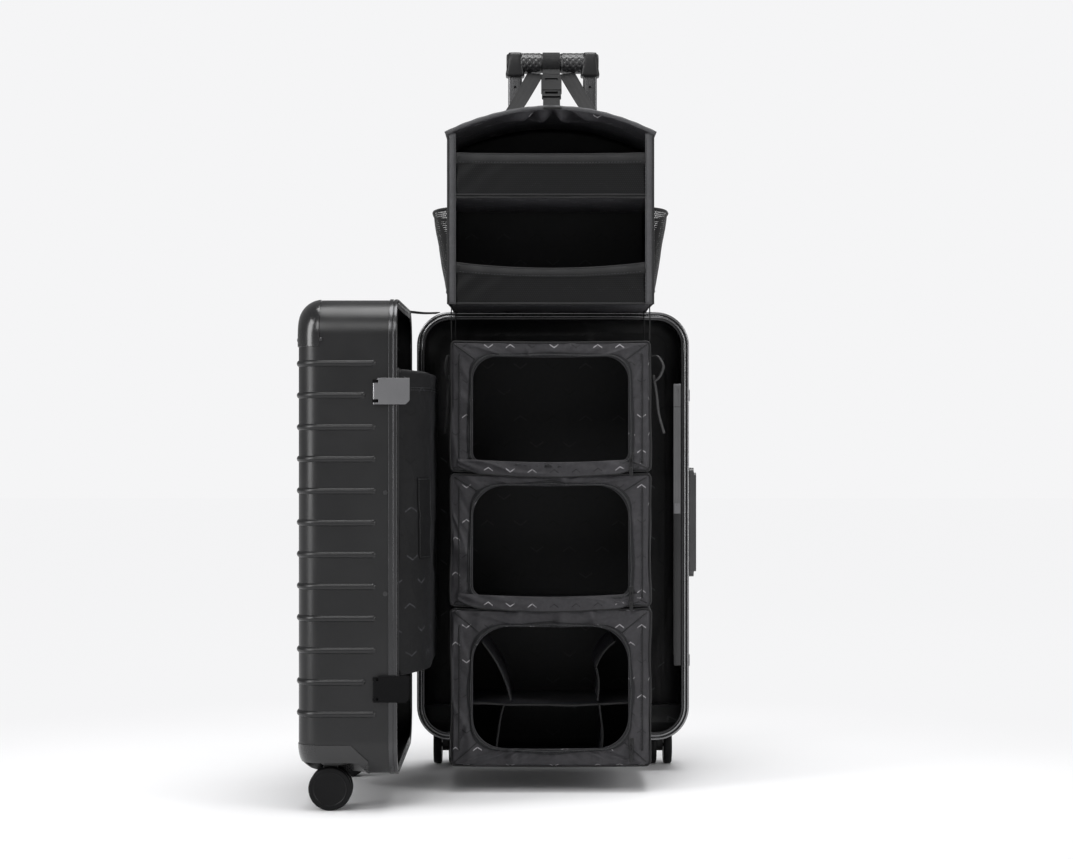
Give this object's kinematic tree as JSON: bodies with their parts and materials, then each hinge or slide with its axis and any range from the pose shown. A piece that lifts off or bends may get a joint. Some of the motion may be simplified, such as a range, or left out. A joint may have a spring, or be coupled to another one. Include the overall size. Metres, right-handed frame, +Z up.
{
  "type": "suitcase",
  "caption": "Ribbed hard-shell suitcase on spinner wheels, open at a right angle, with a hanging organiser of shelves and zipped cubes on its telescopic handle",
  "frame": {"origin": "On the floor, below the middle of the back half's rim", "axes": "X runs to the right across the back half, Y from its rim into it, away from the viewer, Z up"},
  "size_m": [0.5289, 0.5229, 1.0257],
  "materials": {
    "shell": "textured polycarbonate, charcoal",
    "frame": "anodised aluminium extrusion, dark grey",
    "lining": "woven polyester lining, black",
    "gloss_black": "moulded nylon, satin black",
    "dark_plastic": "moulded ABS, black",
    "rivet": "domed rivets",
    "hinge": "black zinc-plated steel",
    "latch": "brushed gunmetal",
    "tube": "anodised aluminium tube",
    "grip": "dimpled grip with satin end caps",
    "webbing": "woven polyester webbing",
    "cloth": "coated polyester cloth",
    "mesh": "warp-knitted mesh",
    "zip": "coil zip tape",
    "tread": "polyurethane tread on a nylon wheel"
  },
  "bodies": {
    "back_half": {"back_shell": "shell", "back_rim_frame": "frame", "back_lining": "lining", "back_corner_guards": "gloss_black", "back_wheel_housings": "dark_plastic", "back_rivets": "rivet", "back_hinge_leaves": "hinge", "hinge_pins": "hinge", "lock_fittings": "dark_plastic", "side_handle_base": "dark_plastic", "trolley_bezel": "dark_plastic", "trolley_sleeves": "tube", "bottom_shelf": "cloth", "left_side_panel": "cloth", "right_side_panel": "cloth", "rear_panel": "cloth", "upper_mesh": "mesh", "lower_mesh": "mesh", "side_mesh_pockets": "mesh", "upper_cube": "cloth", "middle_cube": "cloth", "lower_cube": "cloth", "cube_dividers": "cloth", "cube_zips": "zip", "cube_straps": "webbing"},
    "grip_body": {"grip_tubes": "tube", "grip_handle": "grip", "hanger_strap": "webbing", "buckle_socket": "dark_plastic", "buckle_prongs": "dark_plastic", "roof_webbing": "webbing", "roof_panel": "cloth"},
    "middle_tube_body": {"middle_tubes": "tube"},
    "upper_shelf_body": {"upper_shelf": "cloth"},
    "release_button_body": {"release_button": "dark_plastic"},
    "lock_bar_body": {"lock_bar": "tube"},
    "side_handle_body": {"side_handle_grip": "dark_plastic"},
    "upper_zip_pull_body": {"upper_zip_pull": "hinge"},
    "middle_zip_pull_body": {"middle_zip_pull": "hinge"},
    "lower_zip_pull_body": {"lower_zip_pull": "hinge"},
    "front_half": {"front_shell": "shell", "front_rim_frame": "frame", "front_lining": "lining", "front_corner_guards": "gloss_black", "front_wheel_housings": "dark_plastic", "front_rivets": "rivet", "front_hinge_leaves": "hinge", "latch_bases": "hinge", "divider_panel": "cloth", "lid_stay": "webbing"},
    "upper_latch_body": {"upper_latch": "latch"},
    "lower_latch_body": {"lower_latch": "latch"},
    "back_left_caster_body": {"back_left_caster": "dark_plastic"},
    "back_left_wheel_body": {"back_left_wheels": "tread"},
    "back_right_caster_body": {"back_right_caster": "dark_plastic"},
    "back_right_wheel_body": {"back_right_wheels": "tread"},
    "front_near_caster_body": {"front_near_caster": "dark_plastic"},
    "front_near_wheel_body": {"front_near_wheels": "tread"},
    "front_far_caster_body": {"front_far_caster": "dark_plastic"},
    "front_far_wheel_body": {"front_far_wheels": "tread"}
  },
  "joints": [
    {"name": "lid_hinge", "type": "hinge", "parent": "back_half", "child": "front_half", "pos_m": [-0.1977, 0, 0.364], "axis": [0, 0, -1], "range_deg": [-2, 90]},
    {"name": "trolley_slide", "type": "slide", "parent": "back_half", "child": "grip_body", "axis": [0, 0, 1], "range_m": [-0.19, 0], "deforming": ["left_side_panel", "right_side_panel", "rear_panel", "upper_mesh", "lower_mesh", "side_mesh_pockets"]},
    {"name": "middle_tube_slide", "type": "slide", "parent": "back_half", "child": "middle_tube_body", "axis": [0, 0, 1], "range_m": [-0.095, 0]},
    {"name": "upper_shelf_slide", "type": "slide", "parent": "back_half", "child": "upper_shelf_body", "axis": [0, 0, 1], "range_m": [-0.12014, 0]},
    {"name": "release_button_press", "type": "slide", "parent": "grip_body", "child": "release_button_body", "axis": [0, -1, 0], "range_m": [0, 0.003], "stiffness_N_per_m": 600},
    {"name": "lock_bar_slide", "type": "slide", "parent": "back_half", "child": "lock_bar_body", "axis": [0, 0, 1], "range_m": [0, 0.006]},
    {"name": "side_handle_pull", "type": "slide", "parent": "back_half", "child": "side_handle_body", "axis": [1, 0, 0], "range_m": [0, 0.009], "stiffness_N_per_m": 300},
    {"name": "upper_latch_hinge", "type": "hinge", "parent": "front_half", "child": "upper_latch_body", "pos_m": [-0.226, -0.3924, 0.529], "axis": [0, 0, -1], "range_deg": [0, 95]},
    {"name": "lower_latch_hinge", "type": "hinge", "parent": "front_half", "child": "lower_latch_body", "pos_m": [-0.226, -0.3924, 0.156], "axis": [0, 0, -1], "range_deg": [0, 95]},
    {"name": "upper_zip_slide", "type": "slide", "parent": "back_half", "child": "upper_zip_pull_body", "axis": [0, 0, 1], "range_m": [0, 0.07]},
    {"name": "middle_zip_slide", "type": "slide", "parent": "back_half", "child": "middle_zip_pull_body", "axis": [0, 0, 1], "range_m": [0, 0.07]},
    {"name": "lower_zip_slide", "type": "slide", "parent": "back_half", "child": "lower_zip_pull_body", "axis": [0, 0, 1], "range_m": [0, 0.07]},
    {"name": "back_left_swivel", "type": "hinge", "parent": "back_half", "child": "back_left_caster_body", "pos_m": [-0.154, 0.081, 0.06], "axis": [0, 0, 1], "continuous": true},
    {"name": "back_left_wheel_spin", "type": "hinge", "parent": "back_left_caster_body", "child": "back_left_wheel_body", "pos_m": [-0.154, 0.086, 0.0275], "axis": [-1, 0, 0], "continuous": true},
    {"name": "back_right_swivel", "type": "hinge", "parent": "back_half", "child": "back_right_caster_body", "pos_m": [0.154, 0.081, 0.06], "axis": [0, 0, 1], "continuous": true},
    {"name": "back_right_wheel_spin", "type": "hinge", "parent": "back_right_caster_body", "child": "back_right_wheel_body", "pos_m": [0.154, 0.086, 0.0275], "axis": [-1, 0, 0], "continuous": true},
    {"name": "front_near_swivel", "type": "hinge", "parent": "front_half", "child": "front_near_caster_body", "pos_m": [-0.2787, -0.3517, 0.06], "axis": [0, 0, 1], "continuous": true},
    {"name": "front_near_wheel_spin", "type": "hinge", "parent": "front_near_caster_body", "child": "front_near_wheel_body", "pos_m": [-0.2837, -0.3517, 0.0275], "axis": [0, -1, 0], "continuous": true},
    {"name": "front_far_swivel", "type": "hinge", "parent": "front_half", "child": "front_far_caster_body", "pos_m": [-0.2787, -0.0437, 0.06], "axis": [0, 0, 1], "continuous": true},
    {"name": "front_far_wheel_spin", "type": "hinge", "parent": "front_far_caster_body", "child": "front_far_wheel_body", "pos_m": [-0.2837, -0.0437, 0.0275], "axis": [0, -1, 0], "continuous": true}
  ],
  "couplings": [
    {"joint": "middle_tube_slide", "follows": "trolley_slide", "ratio": 0.5},
    {"joint": "upper_shelf_slide", "follows": "trolley_slide", "ratio": 0.6323}
  ]
}
